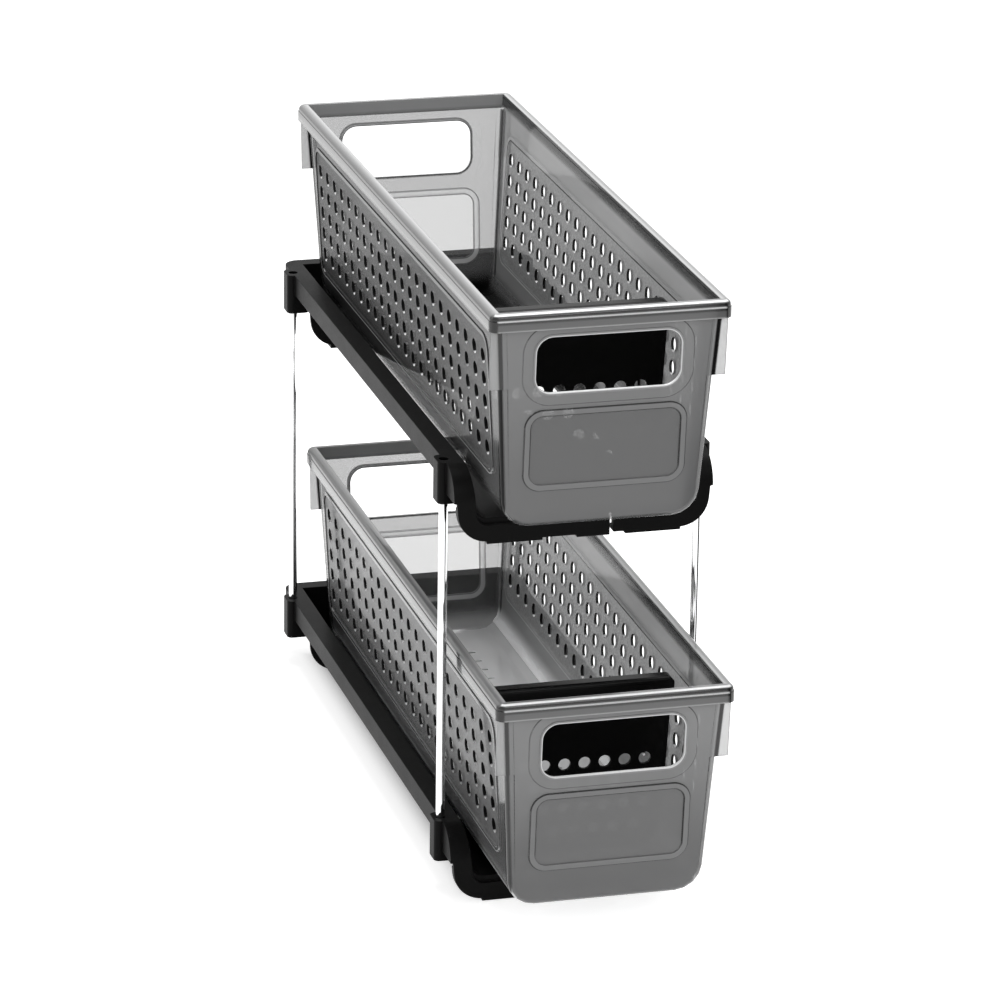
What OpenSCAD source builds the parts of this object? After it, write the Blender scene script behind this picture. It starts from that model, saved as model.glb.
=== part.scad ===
// Two-tier pull-out cabinet basket: two moulded trays stacked on four chrome poles,
// each carrying a perforated basket that slides out to the front and holds one divider.
// X is the width, Y runs from the front (low) to the back, Z is up from the shelf.

/* [Tiers] */
// Height from the lower rail top to the upper rail top
tier_pitch = 186.6; // [150:0.1:260]
// How far the upper basket stands out past the tray front in the rest position
upper_overhang = 41.4; // [34:0.1:80]
// How far the lower basket stands out past the tray front in the rest position
lower_overhang = 62.7; // [34:0.1:120]

/* [Tray] */
// Length of a tray from front face to back edge
tray_len = 369; // [330:1:450]
// How far each rail stands out past the basket's rim
rail_out = 5.5; // [4:0.1:9]
// Height of the rail top above the underside of the feet
tray_h = 37.3; // [34:0.1:50]
// Wall thickness of a tray
tray_t = 2.2; // [1.6:0.1:3]
// Width of the flat rail top
rail_w = 9.2; // [7:0.1:12]
// Height of the skirt that hangs from the rail
skirt_h = 11; // [6:0.5:16]
// Radius where the rail top rolls down into the front face
shoulder_r = 16; // [8:0.5:16]
// Radius of the back corners of the rail, seen from above
back_corner_r = 8; // [3:0.5:12]
// Depth of the channel floor below the rail top
floor_drop = 24.6; // [22.5:0.1:28]
// Depth of a basket's underside below the rail top
seat_drop = 20.2; // [18:0.1:22]
// Radius of the channel's bottom corners
channel_r = 6; // [3:0.5:8]
// Inward slope of the channel walls in degrees
channel_draft = 5.5; // [2:0.5:8]

/* [Front lip and feet] */
// Height of the lip's top edge above the underside of the feet
lip_h = 9.6; // [6:0.1:12]
// Outer corner radius of the front frame and the rear foot
frame_r = 15; // [8:0.5:20]
// Inward slope of the front frame's sides in degrees
frame_draft = 4.9; // [1:0.1:6]
// Depth of the foot shelf behind the front face
shelf_d = 8; // [5:0.5:14]
// Height of the foot pads
pad_h = 1.3; // [0.8:0.1:3]
// Length of a side foot pad across the tray
side_pad_w = 28; // [12:1:30]
// Gap between the two side foot pads
side_pad_gap = 41.4; // [38:0.2:46]
// Length of the middle foot pad across the tray
mid_pad_w = 16.6; // [8:0.2:24]
// Place of the middle foot pad's right end from the centre
mid_pad_end = 13; // [9:0.2:15]
// Width of the slit beside the middle pad
slit_w = 1.8; // [1:0.1:3]
// Distance of the rear foot from the back edge
rear_foot_inset = 45; // [36:1:80]
// How much narrower the rear foot is than the front frame, on each side
rear_foot_in = 3.5; // [2:0.5:6]

/* [Guides and floor openings] */
// Width of a side guide, measured from the channel wall
guide_w = 10.2; // [8:0.1:12]
// Distance of the guides from the tray's ends
guide_inset = 63; // [40:1:90]
// Depth of the guides' tops below the rail top
guide_drop = 9; // [8:0.5:12]
// Corner radius of the guides' ends, seen from above
guide_r = 8; // [3:0.5:9]
// Distance of the floor openings from the tray's ends
opening_inset = 75; // [60:1:120]
// Width of the floor bar between a guide and the opening beside it
opening_bar = 2.5; // [1.5:0.5:6]
// Distance of an opening's point from the tray's middle line
opening_point = 4; // [2:0.5:12]

/* [Poles and sockets] */
// Diameter of a pole
pole_d = 4.5; // [3:0.1:5.5]
// How far the pole axes stand in from the rails' outer faces
pole_in = 0.5; // [0:0.1:1]
// Distance of the pole axes from the tray's ends
pole_inset = 23; // [18:0.5:30]
// Wall between a pole bore and the outer face of its socket block
socket_wall = 1.8; // [1.5:0.1:3]
// Width of a socket block
socket_w = 12; // [11:0.1:13]
// Length of a socket block
socket_len = 13; // [10:0.5:16]
// Height of a socket block
socket_h = 21.3; // [18:0.1:26]
// Depth of each pole bore
bore_depth = 9.8; // [6:0.1:9.8]
// Corner radius of a socket block
socket_r = 3; // [1.5:0.1:4]

/* [Basket] */
// Length of a basket over its rim
basket_len = 401; // [380:1:460]
// Width of a basket over its rim
basket_w = 119; // [116:0.5:122]
// Height of a basket
basket_h = 110.5; // [100:0.5:130]
// Wall thickness of a basket
wall_t = 1.4; // [1.2:0.1:2]
// Inward slope of the side walls in degrees
side_draft = 3.4; // [2:0.1:4]
// Inward slope of the end walls in degrees
end_draft = 5; // [2:0.1:6]
// Radius of the long bottom edges
belly_r = 14; // [6:0.5:16]
// Radius of the short bottom edges
end_edge_r = 4; // [3:0.5:8]
// Radius of the upright corners where they meet the rim
corner_r = 5; // [3:0.5:8]

/* [Rim and tabs] */
// Wall thickness of the rim
rim_t = 1.6; // [1.2:0.1:2]
// Width of the rim's top band
rim_w = 5.4; // [4:0.1:6]
// Height of the rim's outer skirt
rim_h = 8.5; // [6:0.1:12]
// Corner radius of the rim, seen from above
rim_r = 4.5; // [4:0.5:8]
// Height of the bead along the rim's top
bead_h = 3.2; // [2.6:0.1:5]
// Rounding of the bead's outer edge
bead_r = 2.4; // [1:0.1:2.5]
// How far the bead stands in from the skirt below it
bead_in = 0.4; // [0.2:0.1:0.8]
// How far the side walls stand in from the rim's outer edge
side_inset = 4.5; // [4.2:0.1:6]
// How far the end walls stand in from the rim's outer edge
end_inset = 3.4; // [3:0.1:4]
// Height over which the side walls flare out to the rim
flare_h = 8; // [5:0.5:12]
// Depth of the front corner tabs below the rim top
tab_drop = 38.4; // [20:0.1:60]
// Depth of the back corner tabs below the rim top
back_tab_drop = 34.6; // [20:0.1:60]
// How far a tab's outer edge stands in from the rim's outer edge
tab_inset = 1.3; // [0.5:0.1:2]

/* [Side perforation] */
// Number of hole columns along a side
hole_cols = 22; // [6:1:22]
// Number of hole rows on a side
hole_rows = 5; // [2:1:5]
// Distance between hole columns
col_pitch = 15.92; // [10:0.01:16]
// Distance between hole rows
row_pitch = 11.5; // [9:0.1:12]
// Diameter of a side hole
hole_d = 7.4; // [4:0.1:8]
// Distance of the first hole column from the rim's front
hole_front = 36.3; // [34:0.1:38]
// Depth of the first hole row below the rim top
hole_drop = 30.3; // [28:0.1:32]
// Distance of the raised border's ends from the first and last hole centres
border_gap = 10.9; // [7:0.1:11]
// Distance of the raised border's long edges from the top and bottom hole centres
border_rise = 12.5; // [9:0.1:13]
// Outer corner radius of the raised border
border_r = 9; // [4:0.5:12]
// Width of the raised border
border_w = 2.2; // [1:0.1:3]
// How far the border stands proud of the wall
border_proud = 0.5; // [0.3:0.1:1]

/* [Handles and label frames] */
// Width of a handle opening
grip_w = 71.2; // [50:0.2:76]
// Height of a handle opening
grip_h = 28.3; // [18:0.1:30]
// Depth of the handle opening's top edge below the rim top
grip_drop = 13.3; // [12:0.1:16]
// Corner radius of a handle opening
grip_r = 8; // [4:0.5:9]
// Width of the bead round a handle opening
grip_bead = 1.4; // [0.8:0.1:2.5]
// Width of the faint pad round the bead
grip_pad = 5; // [3:0.1:6]
// How far the pad stands proud of the wall
pad_proud = 0.3; // [0.2:0.1:0.6]
// Width of the raised label frame
label_w = 80; // [50:0.5:82]
// Height of the raised label frame
label_h = 41.3; // [25:0.1:42]
// Depth of the label frame's top edge below the rim top
label_drop = 50.4; // [48:0.1:54]
// Outer corner radius of the label frame
label_r = 9; // [4:0.5:12]
// Width of the label frame's band
label_band = 3; // [1.5:0.1:4]
// How far the bead and the label frame stand proud of the wall
face_proud = 0.8; // [0.4:0.1:1.2]

/* [Divider] */
// Distance of the divider's middle plane from the rim's front
divider_front = 72.2; // [60:0.1:140]
// Thickness of the divider's panel
panel_t = 2; // [1.4:0.1:3]
// Depth of the divider's top edge below the rim top
divider_drop = 19.5; // [16:0.1:28]
// Depth of the divider's top rail, front to back
bar_d = 9; // [5:0.5:12]
// Height of the divider's top rail
bar_h = 6; // [3:0.5:9]
// Rounding of the top rail's long edges
bar_r = 2; // [0.5:0.1:2.5]
// Rounding of the divider's top corners
bar_end_r = 4; // [1:0.5:6]
// Diameter of a divider hole
vent_d = 6.2; // [3:0.1:7]
// Distance between divider holes across the panel
vent_pitch = 10.3; // [8:0.1:11]
// Distance between divider hole rows
vent_row_pitch = 11.7; // [8:0.1:12]
// Depth of the first divider hole row below the rim top
vent_drop = 62.6; // [56:0.1:64]
// Number of divider hole rows
vent_rows = 4; // [1:1:4]
// Least distance of the divider's hole centres from its edges
vent_margin = 7; // [5:0.5:12]
// Distance between neighbouring floor slots for the divider's pegs
peg_pitch = 13.3; // [10:0.1:16]
// Distance between the two rows of floor slots
peg_span = 44; // [20:1:50]
// Length of a peg across the basket
peg_w = 4.4; // [3:0.1:6]
// Thickness of a peg
peg_t = 1.2; // [0.8:0.1:1.4]
// Height of a peg below the divider's bottom edge
peg_h = 1.2; // [0.8:0.1:1.4]

/* [Clearances] */
// Radial play of a pole in its bore
pole_play = 0.15; // [0.05:0.01:0.3]
// Gap left at a pole's end
pole_end_gap = 0.3; // [0.1:0.1:1]
// Gap between a basket and the guides that carry it
slide_gap = 0.3; // [0.1:0.05:0.6]
// Gap between a divider and the basket walls
divider_gap = 2.7; // [0.4:0.1:4]
// Gap round a peg in its slot and under a divider
peg_gap = 0.25; // [0.1:0.05:0.4]

/* [Hidden] */
$fn = 48;
// Overrun of every cut past the face that it opens
over = 1;
// Facets round the balls that shape a basket's bottom edges
ball_facets = 24;
// Steps of the balls round a belly corner
belly_steps = 4;

tray_black = [0.10, 0.10, 0.11];
chrome = [0.86, 0.87, 0.89];
smoke = [0.47, 0.48, 0.49, 0.75];
divider_black = [0.06, 0.06, 0.07];

// Middle of the whole object, front to back, which the origin stands under
mid_y = (tray_len - lower_overhang) / 2;

// Tray
tray_w = basket_w + 2 * rail_out;
half_rail = tray_w / 2;
half_channel = half_rail - rail_w;
plate_h = tray_h - pad_h;
channel_floor = tray_h - floor_drop;
channel_bottom = channel_floor - tray_t;
basket_seat = tray_h - seat_drop;

// Poles
pole_r = pole_d / 2;
bore_r = pole_r + pole_play;
pole_x = half_rail - pole_in;
socket_out = pole_x + bore_r + socket_wall;
pole_tip_r = pole_d / 9;
pole_low = tray_h - bore_depth + pole_end_gap;
pole_high = tray_h + tier_pitch - socket_h + bore_depth - pole_end_gap;

// Basket
half_basket = basket_w / 2;
half_wall = half_basket - side_inset;
wall_len = basket_len - 2 * end_inset;
half_mouth = half_basket - rim_w;
border_len = (hole_cols - 1) * col_pitch + 2 * border_gap;
border_h = (hole_rows - 1) * row_pitch + 2 * border_rise;

// Divider
divider_top = basket_h - divider_drop;
vent_last = basket_h - vent_drop - (vent_rows - 1) * vent_row_pitch;
vent_reach = half_wall - (basket_h - vent_last) * tan(side_draft) - wall_t - divider_gap - vent_margin;
vent_cols = 1 + floor(2 * vent_reach / vent_pitch);
peg_slots = floor((basket_len - 2 * hole_front) / peg_pitch);
peg_slot_w = peg_w + 2 * peg_gap;
peg_slot_t = peg_t + 2 * peg_gap;

// Half width of a sloping wall at a height, where top_half is its half width at height h
function half_at(top_half, h, draft, z) = top_half - (h - z) * tan(draft);

// Plan of a box with round corners, centred
module round_rect(w, l, r) {
    square([w - 2 * r, l], center = true);
    square([w, l - 2 * r], center = true);
    for (sx = [-1, 1], sy = [-1, 1])
        translate([sx * (w / 2 - r), sy * (l / 2 - r)]) circle(r);
}

// Upright profile from height zero to h: half width top_half at the top, walls that lean in
// by draft degrees, and round bottom corners
module cradle_2d(top_half, h, draft, r) {
    cx = half_at(top_half, h, draft, r) - r / cos(draft);
    tx = cx + r * cos(draft);
    tz = r - r * sin(draft);
    polygon([[-cx, 0], [cx, 0], [tx, tz], [top_half, h], [-top_half, h], [-tx, tz]]);
    for (s = [-1, 1]) translate([s * cx, r]) circle(r);
}

// Stands a profile up and runs it along Y from y0 to y1
module along_y(y0, y1) {
    translate([0, y1, 0]) rotate([90, 0, 0]) linear_extrude(y1 - y0) children();
}

// Stands a profile up, with its first axis along Y, and runs it along X from x0 to x1
module along_x(x0, x1) {
    translate([x0, 0, 0]) rotate([90, 0, 90]) linear_extrude(x1 - x0) children();
}

// Side view of a tray: square at the back, rolled over at the front
module tray_side_2d() {
    translate([shoulder_r, 0]) square([tray_len - shoulder_r, tray_h]);
    square([shoulder_r + over, tray_h - shoulder_r]);
    translate([shoulder_r, tray_h - shoulder_r]) circle(shoulder_r);
}

// The same view, one wall thickness inside the skin
module tray_side_inner_2d() {
    r = shoulder_r - tray_t;
    translate([shoulder_r, -over]) square([tray_len, tray_h - tray_t + over]);
    translate([tray_t, -over]) square([shoulder_r, tray_h - shoulder_r + over]);
    translate([shoulder_r, tray_h - shoulder_r]) circle(r);
}

// Plan of a tray
module tray_plan_2d(inset) {
    r = back_corner_r - inset;
    translate([-half_rail + inset, inset])
        square([tray_w - 2 * inset, tray_len - back_corner_r - inset]);
    translate([-half_rail + back_corner_r, tray_len / 2])
        square([tray_w - 2 * back_corner_r, tray_len / 2 - inset]);
    for (s = [-1, 1])
        translate([s * (half_rail - back_corner_r), tray_len - back_corner_r]) circle(r);
}

// Outline of the front frame, and of the rear foot where narrow takes some of its width
module frame_2d(narrow) {
    translate([0, pad_h]) cradle_2d(half_rail - narrow, plate_h, frame_draft, frame_r);
}

// Open inside of the channel, from the floor up
module channel_2d(bottom, grow) {
    translate([0, bottom])
        cradle_2d(half_channel + grow, tray_h - bottom, channel_draft, channel_r);
}

// Rail tops, their skirts and the rolled front shoulders
module tray_rails() {
    difference() {
        intersection() {
            along_x(-half_rail, half_rail) tray_side_2d();
            translate([0, 0, tray_h - shoulder_r])
                linear_extrude(shoulder_r) tray_plan_2d(0);
        }
        intersection() {
            along_x(-half_rail, half_rail) tray_side_inner_2d();
            linear_extrude(tray_h) tray_plan_2d(tray_t);
        }
        translate([-tray_w, shoulder_r, -over])
            cube([2 * tray_w, 2 * tray_len, tray_h - skirt_h + over]);
    }
}

// Channel that the basket runs in, closed at the back
module tray_channel() {
    intersection() {
        along_y(0, tray_len - rail_w + tray_t) channel_2d(channel_bottom, tray_t);
        along_x(-half_rail, half_rail) tray_side_2d();
    }
}

// Foot: an upright plate with a shelf along its lower edge
module tray_foot(y0, narrow) {
    along_y(y0, y0 + tray_t) frame_2d(narrow);
    intersection() {
        along_y(y0, y0 + shelf_d) frame_2d(narrow);
        translate([-half_rail, y0, pad_h]) cube([tray_w, shelf_d, tray_t]);
    }
}

// Riser that closes the step from the front lip up to the channel floor
module tray_riser() {
    difference() {
        along_y(0, 2 * tray_t)
            intersection() {
                frame_2d(0);
                translate([-half_rail, 0]) square([tray_w, channel_floor + channel_r]);
            }
        along_y(-over, tray_t) channel_2d(lip_h, 0);
        along_y(-over, 2 * tray_t + over) channel_2d(channel_floor, 0);
    }
}

// Foot pads under one shelf, which starts at y0
module foot_pads(y0, with_mid) {
    for (s = [-1, 1])
        translate([s * (side_pad_gap + side_pad_w) / 2 - side_pad_w / 2, y0, 0])
            cube([side_pad_w, shelf_d, pad_h + tray_t / 2]);
    if (with_mid)
        translate([mid_pad_end - mid_pad_w, y0, 0])
            cube([mid_pad_w, shelf_d, pad_h + tray_t / 2]);
}

// Guides that fill the channel's corners and cradle the basket's belly
module tray_guides() {
    outer = half_channel + tray_t / 2;
    inner = half_at(half_channel, tray_h - channel_bottom, channel_draft, 0) - guide_w;
    len = tray_len - 2 * guide_inset;
    difference() {
        for (s = [0, 1])
            mirror([s, 0, 0])
                intersection() {
                    translate([inner + outer, tray_len / 2, channel_bottom + tray_t / 2])
                        linear_extrude(floor_drop + tray_t / 2 - guide_drop)
                            round_rect(2 * outer, len, guide_r);
                    along_y(guide_inset - over, tray_len - guide_inset + over)
                        channel_2d(channel_bottom, tray_t / 2);
                }
        translate([0, 0, basket_seat])
            along_y(guide_inset - 2 * over, tray_len - guide_inset + 2 * over)
                basket_front_2d(slide_gap);
    }
}

// Blocks that take the poles
module tray_sockets() {
    for (s = [-1, 1], y = [pole_inset, tray_len - pole_inset])
        translate([s * (socket_out - socket_w / 2), y, tray_h - socket_h])
            linear_extrude(socket_h) round_rect(socket_w, socket_len, socket_r);
}

// Pole bores, open above and below, with a web between
module tray_bores() {
    for (s = [-1, 1], y = [pole_inset, tray_len - pole_inset])
        translate([s * pole_x, y, 0]) {
            translate([0, 0, tray_h - bore_depth]) cylinder(r = bore_r, h = bore_depth + over);
            translate([0, 0, tray_h - socket_h - over])
                cylinder(r = bore_r, h = bore_depth + over);
        }
}

// Three-cornered openings that leave a crossed brace in the channel floor
module tray_floor_openings() {
    side = half_at(half_channel, tray_h - channel_bottom, channel_draft, 0) - guide_w
        - opening_bar;
    for (s = [-1, 1])
        translate([0, 0, channel_bottom - over])
            linear_extrude(tray_t + 2 * over)
                polygon([[s * side, opening_inset], [s * side, tray_len - opening_inset],
                         [s * opening_point, tray_len / 2]]);
}

module tray() {
    color(tray_black)
    difference() {
        union() {
            difference() {
                union() {
                    tray_rails();
                    tray_channel();
                    intersection() {
                        tray_foot(0, 0);
                        along_x(-half_rail, half_rail) tray_side_2d();
                    }
                    tray_foot(tray_len - rear_foot_inset, rear_foot_in);
                    tray_sockets();
                }
                along_y(-over, tray_len - rail_w) channel_2d(channel_floor, 0);
                along_y(-over, tray_t) channel_2d(lip_h, 0);
            }
            tray_riser();
            tray_guides();
            foot_pads(0, true);
            foot_pads(tray_len - rear_foot_inset, false);
        }
        tray_bores();
        tray_floor_openings();
        translate([mid_pad_end, -over, -over])
            cube([slit_w, shelf_d + 2 * over, lip_h + 2 * over]);
    }
}

module pole(side, y) {
    color(chrome)
    translate([side * pole_x, y, pole_low])
        rotate_extrude()
            polygon([[0, 0], [pole_r - pole_tip_r, 0], [pole_r, pole_tip_r],
                     [pole_r, pole_high - pole_low - pole_tip_r],
                     [pole_r - pole_tip_r, pole_high - pole_low], [0, pole_high - pole_low]]);
}

// Front view of a basket's wall, grown outwards by grow
module basket_front_2d(grow) {
    translate([0, -grow])
        cradle_2d(half_wall + grow, basket_h + grow, side_draft, belly_r + grow);
}

// Side view of a basket's wall, grown outwards by grow
module basket_side_2d(grow) {
    translate([basket_len / 2, -grow])
        cradle_2d(wall_len / 2 + grow, basket_h + grow, end_draft, end_edge_r + grow);
}

// Ball whose flats reach the full radius along each axis
module ball(r) {
    sphere(r = r / cos(180 / ball_facets), $fn = ball_facets);
}

// Solid of the basket's walls up to the height top, grown outwards by grow: upright corners
// at the top, and balls round the belly corners at the bottom
module basket_body(grow, top) {
    edge = end_edge_r + grow;
    belly = belly_r + grow;
    cz = belly_r;
    cx = half_at(half_wall, basket_h, side_draft, cz) + grow - belly / cos(side_draft);
    translate([0, basket_len / 2, 0])
        hull()
            for (sx = [-1, 1], sy = [-1, 1]) {
                r = corner_r + grow;
                x = half_at(half_wall, basket_h, side_draft, top) + grow - r;
                y = half_at(wall_len / 2, basket_h, end_draft, top) + grow - r;
                translate([sx * x, sy * y, top - wall_t]) cylinder(r = r, h = wall_t, $fn = 32);
                for (i = [0 : belly_steps]) {
                    turn = -90 + i * (90 - side_draft) / belly_steps;
                    bz = cz + (belly - edge) * sin(turn);
                    by = half_at(wall_len / 2, basket_h, end_draft, bz) + grow
                        - edge / cos(end_draft);
                    translate([sx * (cx + (belly - edge) * cos(turn)), sy * by, bz]) ball(edge);
                }
            }
}

// Flared mouth between the two side walls
module basket_flare_2d(grow) {
    low = half_at(half_wall, basket_h, side_draft, basket_h - flare_h) - wall_t;
    polygon([[-low - grow, basket_h - flare_h], [low + grow, basket_h - flare_h],
             [half_mouth + grow, basket_h], [-half_mouth - grow, basket_h]]);
}

// Half of the rim's upright outline, reaching out to half from the middle
module rim_half_2d(half) {
    bead = half - bead_in;
    square([half, rim_h - bead_h]);
    square([bead, rim_h - bead_r]);
    square([bead - bead_r, rim_h]);
    translate([bead - bead_r, rim_h - bead_r]) circle(bead_r);
}

module rim_2d(half) {
    for (s = [0, 1]) mirror([s, 0, 0]) rim_half_2d(half);
}

// Rim band with its hanging skirt, open below
module basket_rim() {
    translate([0, 0, basket_h - rim_h])
        difference() {
            union() {
                along_y(rim_r, basket_len - rim_r) rim_2d(half_basket);
                along_x(rim_r - half_basket, half_basket - rim_r)
                    translate([basket_len / 2, 0]) rim_2d(basket_len / 2);
                for (sx = [-1, 1], y = [rim_r, basket_len - rim_r])
                    translate([sx * (half_basket - rim_r), y, 0])
                        rotate_extrude()
                            intersection() {
                                rim_half_2d(rim_r);
                                square([rim_r, rim_h]);
                            }
            }
            translate([0, basket_len / 2, -over])
                linear_extrude(rim_h - rim_t + over)
                    round_rect(basket_w - 2 * rim_t, basket_len - 2 * rim_t, rim_r - rim_t);
        }
}

// Thin tabs that carry the end walls on past the corners, under the rim
module basket_tabs() {
    reach = half_basket - tab_inset;
    intersection() {
        along_x(-reach, reach)
            difference() {
                basket_side_2d(0);
                basket_side_2d(-wall_t);
            }
        union() {
            translate([-reach, 0, basket_h - tab_drop])
                cube([2 * reach, basket_len / 2, tab_drop - rim_t / 2]);
            translate([-reach, basket_len / 2, basket_h - back_tab_drop])
                cube([2 * reach, basket_len / 2, back_tab_drop - rim_t / 2]);
        }
    }
}

// Ring outline, with its band inside the given size
module ring_2d(w, l, r, band) {
    difference() {
        round_rect(w, l, r);
        round_rect(w - 2 * band, l - 2 * band, r - band);
    }
}

// Raised border round the side perforation
module basket_borders() {
    cy = hole_front + (hole_cols - 1) * col_pitch / 2;
    cz = basket_h - hole_drop - (hole_rows - 1) * row_pitch / 2;
    intersection() {
        basket_body(border_proud, basket_h);
        along_x(-basket_w, basket_w) translate([cy, cz])
            ring_2d(border_len, border_h, border_r, border_w);
    }
}

// Outline of a handle opening, grown by grow
module grip_2d(grow) {
    translate([0, basket_h - grip_drop - grip_h / 2])
        round_rect(grip_w + 2 * grow, grip_h + 2 * grow, grip_r + grow);
}

// Beads round the handle openings and the label frames, front and back
module basket_face_rings() {
    intersection() {
        basket_body(face_proud, basket_h);
        along_y(-basket_len, 2 * basket_len) {
            grip_2d(grip_bead);
            translate([0, basket_h - label_drop - label_h / 2])
                ring_2d(label_w, label_h, label_r, label_band);
        }
    }
    intersection() {
        basket_body(pad_proud, basket_h - rim_t / 2);
        along_y(-basket_len, 2 * basket_len) grip_2d(grip_bead + grip_pad);
    }
}

// Holes through both side walls
module basket_holes() {
    for (i = [0 : hole_cols - 1], j = [0 : hole_rows - 1])
        translate([-basket_w, hole_front + i * col_pitch, basket_h - hole_drop - j * row_pitch])
            rotate([0, 90, 0]) cylinder(d = hole_d, h = 2 * basket_w);
}

// Two rows of floor slots for the divider's pegs, counted from the divider's own place
module basket_peg_slots() {
    first = divider_front - floor((divider_front - hole_front) / peg_pitch) * peg_pitch;
    for (i = [0 : peg_slots - 1], s = [-1, 1])
        translate([s * peg_span / 2 - peg_slot_w / 2, first + i * peg_pitch - peg_slot_t / 2, -over])
            cube([peg_slot_w, peg_slot_t, wall_t + 2 * over]);
}

// A basket in its own frame: rim front at zero, underside at zero
module basket() {
    difference() {
        union() {
            basket_body(0, basket_h - rim_t / 2);
            basket_rim();
            basket_tabs();
            basket_borders();
            basket_face_rings();
            along_y(end_inset + rim_t, basket_len - end_inset - rim_t) basket_flare_2d(wall_t);
        }
        basket_body(-wall_t, basket_h + over);
        intersection() {
            along_y(0, basket_len) {
                basket_flare_2d(0);
                translate([-half_mouth, basket_h]) square([2 * half_mouth, over]);
            }
            along_x(-basket_w, basket_w)
                translate([basket_len / 2, wall_t])
                    cradle_2d(wall_len / 2 - wall_t + over * tan(end_draft),
                              basket_h - wall_t + over, end_draft, end_edge_r - wall_t / 2);
        }
        basket_holes();
        basket_peg_slots();
        along_y(-basket_len, 2 * basket_len) grip_2d(0);
    }
}

// Rail along the divider's top edge
module divider_bar_2d() {
    translate([-bar_d / 2, divider_top - bar_h]) square([bar_d, bar_h - bar_r]);
    translate([-bar_d / 2 + bar_r, divider_top - bar_r]) square([bar_d - 2 * bar_r, bar_r]);
    for (s = [-1, 1])
        translate([s * (bar_d / 2 - bar_r), divider_top - bar_r]) circle(bar_r);
}

// Outline of the divider: the basket's inside, less the gap, with round top corners
module divider_front_2d() {
    bottom = wall_t + peg_gap;
    half = half_at(half_wall, basket_h, side_draft, divider_top) - wall_t - divider_gap;
    intersection() {
        translate([0, bottom])
            cradle_2d(half_wall - wall_t - divider_gap, basket_h - bottom, side_draft,
                      belly_r - wall_t);
        union() {
            translate([-half, 0]) square([2 * half, divider_top - bar_end_r]);
            translate([bar_end_r - half, 0]) square([2 * (half - bar_end_r), divider_top]);
            for (s = [-1, 1])
                translate([s * (half - bar_end_r), divider_top - bar_end_r]) circle(bar_end_r);
        }
    }
}

// Number of holes in a divider row: every second row has one less and is offset by half a pitch
function vent_count(j) = vent_cols - j % 2;

// A divider in its basket's frame
module divider() {
    color(divider_black)
    translate([0, divider_front, 0])
        difference() {
            union() {
                along_y(-panel_t / 2, panel_t / 2) divider_front_2d();
                intersection() {
                    along_x(-half_wall, half_wall) divider_bar_2d();
                    along_y(-bar_d, bar_d) divider_front_2d();
                }
                for (s = [-1, 1])
                    translate([s * peg_span / 2 - peg_w / 2, -peg_t / 2,
                               wall_t + peg_gap - peg_h])
                        cube([peg_w, peg_t, peg_h + peg_gap]);
            }
            for (j = [0 : vent_rows - 1], i = [0 : vent_count(j) - 1])
                translate([(i - (vent_count(j) - 1) / 2) * vent_pitch, panel_t,
                           basket_h - vent_drop - j * vent_row_pitch])
                    rotate([90, 0, 0]) cylinder(d = vent_d, h = 2 * panel_t);
        }
}

// Places for one tier: the tray frame, and the basket frame in it
module on_tier(level) {
    translate([0, -mid_y, level * tier_pitch]) children();
}

module in_basket_place(level, overhang) {
    on_tier(level) translate([0, -overhang, basket_seat]) children();
}

module lower_tray() { on_tier(0) tray(); }

module upper_tray() { on_tier(1) tray(); }

module lower_basket() {
    color(smoke) in_basket_place(0, lower_overhang) basket();
}

module upper_basket() {
    color(smoke) in_basket_place(1, upper_overhang) basket();
}

module lower_divider() { in_basket_place(0, lower_overhang) divider(); }

module upper_divider() { in_basket_place(1, upper_overhang) divider(); }

module pole_front_left() { on_tier(0) pole(-1, pole_inset); }

module pole_front_right() { on_tier(0) pole(1, pole_inset); }

module pole_back_left() { on_tier(0) pole(-1, tray_len - pole_inset); }

module pole_back_right() { on_tier(0) pole(1, tray_len - pole_inset); }

lower_tray();
upper_tray();
pole_front_left();
pole_front_right();
pole_back_left();
pole_back_right();
lower_basket();
upper_basket();
lower_divider();
upper_divider();
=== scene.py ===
import bpy
import math
from mathutils import Matrix, Vector


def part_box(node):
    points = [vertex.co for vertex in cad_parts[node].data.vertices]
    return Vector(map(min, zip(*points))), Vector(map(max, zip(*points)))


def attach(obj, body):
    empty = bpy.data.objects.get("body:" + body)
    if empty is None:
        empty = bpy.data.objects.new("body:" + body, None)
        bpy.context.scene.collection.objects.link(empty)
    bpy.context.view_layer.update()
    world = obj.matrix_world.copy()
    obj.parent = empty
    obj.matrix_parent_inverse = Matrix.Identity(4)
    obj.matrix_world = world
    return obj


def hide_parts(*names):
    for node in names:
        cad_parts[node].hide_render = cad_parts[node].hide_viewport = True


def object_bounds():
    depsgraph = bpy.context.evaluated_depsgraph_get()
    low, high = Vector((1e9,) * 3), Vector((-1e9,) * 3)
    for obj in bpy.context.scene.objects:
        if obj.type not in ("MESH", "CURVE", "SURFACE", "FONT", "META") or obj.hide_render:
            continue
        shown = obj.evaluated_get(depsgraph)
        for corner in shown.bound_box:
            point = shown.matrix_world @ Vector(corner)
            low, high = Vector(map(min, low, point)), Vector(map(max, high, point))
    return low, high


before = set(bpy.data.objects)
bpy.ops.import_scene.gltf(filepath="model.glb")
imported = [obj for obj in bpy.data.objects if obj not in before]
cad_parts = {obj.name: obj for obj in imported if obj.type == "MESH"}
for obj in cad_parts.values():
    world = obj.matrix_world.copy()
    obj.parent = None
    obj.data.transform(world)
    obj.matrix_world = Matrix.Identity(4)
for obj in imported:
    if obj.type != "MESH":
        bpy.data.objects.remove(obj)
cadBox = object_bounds()
mm = 0.001


# Camera: the angle and distance from which the organiser is photographed

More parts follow.
